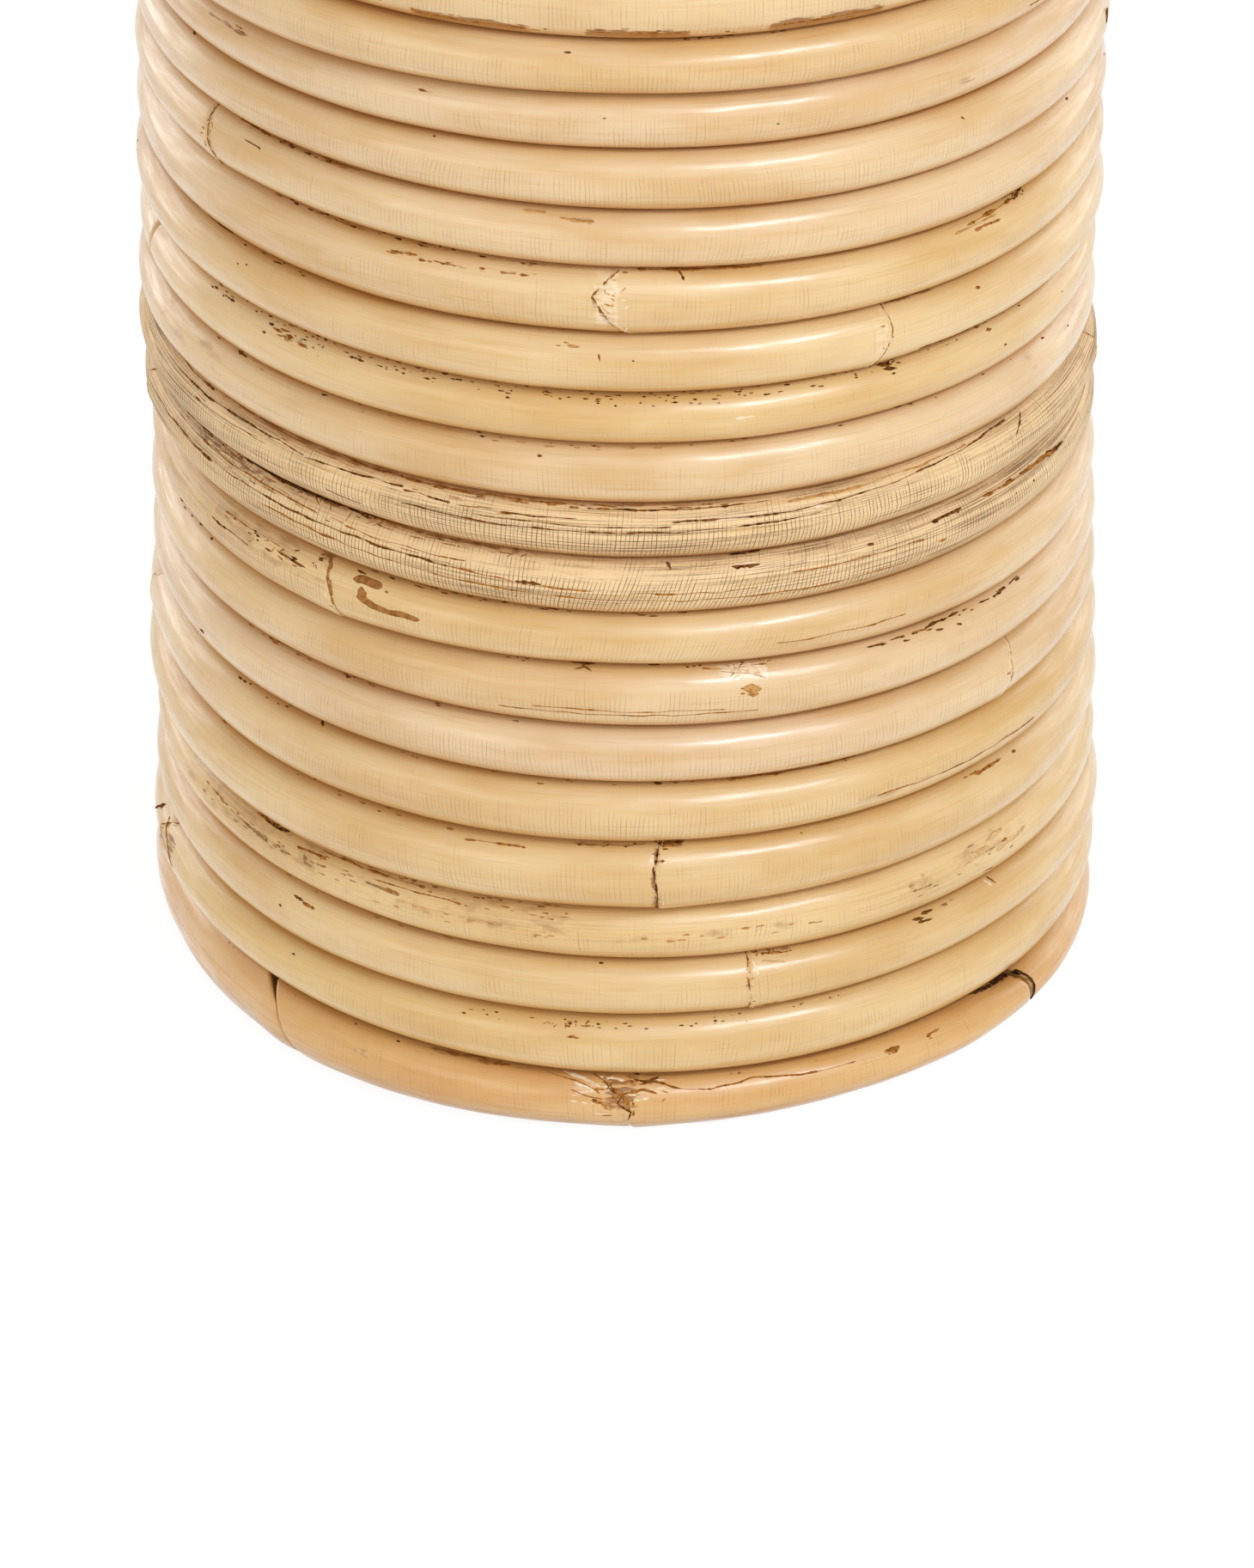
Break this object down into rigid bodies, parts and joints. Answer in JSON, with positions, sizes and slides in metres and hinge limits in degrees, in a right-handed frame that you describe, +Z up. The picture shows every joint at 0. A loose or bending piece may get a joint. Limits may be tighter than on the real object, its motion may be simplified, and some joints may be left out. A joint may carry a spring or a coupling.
{
  "type": "rattan vase",
  "caption": "Tall round vase wound from whole rattan poles, open at the top, with a graded foot ring and a pinned round base board",
  "frame": {"origin": "middle of the underside, on the surface that the vase stands on", "axes": "+Z up along the vase's axis, the pictured side towards -Y, +X to the right of that side"},
  "size_m": [0.2066, 0.2063, 0.4008],
  "materials": {
    "rattan_skin": "glossy natural cane skin, straw yellow",
    "foot_rattan": "glossy natural cane skin, orange tan",
    "split_cane": "split cane, matt on the flat side",
    "plywood": "sanded plywood, matt",
    "nail_steel": "plain bright wire nail"
  },
  "bodies": {
    "root": {"wall_pole_1": "rattan_skin", "wall_pole_2": "rattan_skin", "wall_pole_3": "rattan_skin", "wall_pole_4": "rattan_skin", "wall_pole_5": "rattan_skin", "foot_pole_front": "foot_rattan", "foot_pole_right": "foot_rattan", "foot_pole_back": "foot_rattan", "foot_pole_left": "foot_rattan", "base_board": "plywood", "upright_front": "split_cane", "upright_right": "split_cane", "upright_back": "split_cane", "upright_left": "split_cane", "upright_nail_front_1": "nail_steel", "upright_nail_front_2": "nail_steel", "upright_nail_front_3": "nail_steel", "upright_nail_right_1": "nail_steel", "upright_nail_right_2": "nail_steel", "upright_nail_right_3": "nail_steel", "upright_nail_back_1": "nail_steel", "upright_nail_back_2": "nail_steel", "upright_nail_back_3": "nail_steel", "upright_nail_left_1": "nail_steel", "upright_nail_left_2": "nail_steel", "upright_nail_left_3": "nail_steel", "base_pin_1": "nail_steel", "base_pin_2": "nail_steel", "base_pin_3": "nail_steel", "base_pin_4": "nail_steel", "base_pin_5": "nail_steel", "base_pin_6": "nail_steel"}
  },
  "joints": []
}
